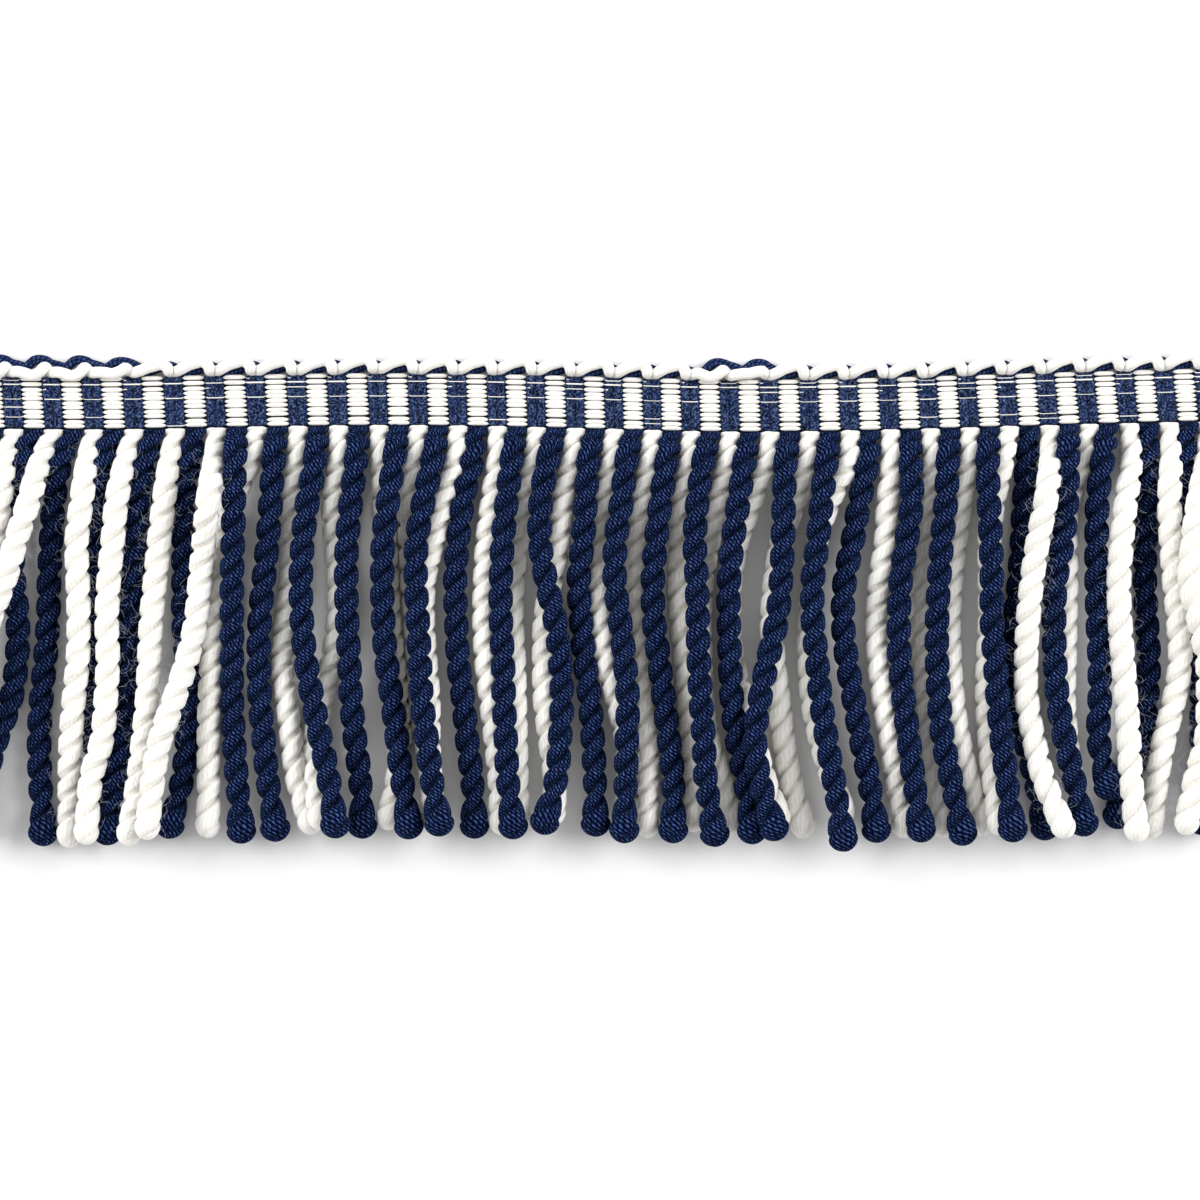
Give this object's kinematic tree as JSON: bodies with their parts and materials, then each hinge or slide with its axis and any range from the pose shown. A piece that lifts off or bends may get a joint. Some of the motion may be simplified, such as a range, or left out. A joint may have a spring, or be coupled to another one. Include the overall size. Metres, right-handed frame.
{
  "type": "bullion fringe",
  "caption": "Navy and white bullion fringe laid flat: woven striped heading with looped edge cords, twisted cords hanging below it.",
  "frame": {"origin": "on the heading's flat back, at the middle of its length and width", "axes": "+X along the heading to the right as the fringe is seen face on, +Y across it towards the looped edge, +Z out of its face; the bullions hang towards -Y"},
  "size_m": [0.2581, 0.1002, 0.0136],
  "materials": {
    "heading_yarn": "woven, matt",
    "white_yarn": "spun, matt",
    "navy_yarn": "spun, matt"
  },
  "bodies": {
    "root": {"heading": "heading_yarn", "edge_cord_white": "white_yarn", "edge_cord_navy": "navy_yarn", "bullions_navy": "navy_yarn", "bullions_white": "white_yarn"}
  },
  "joints": []
}
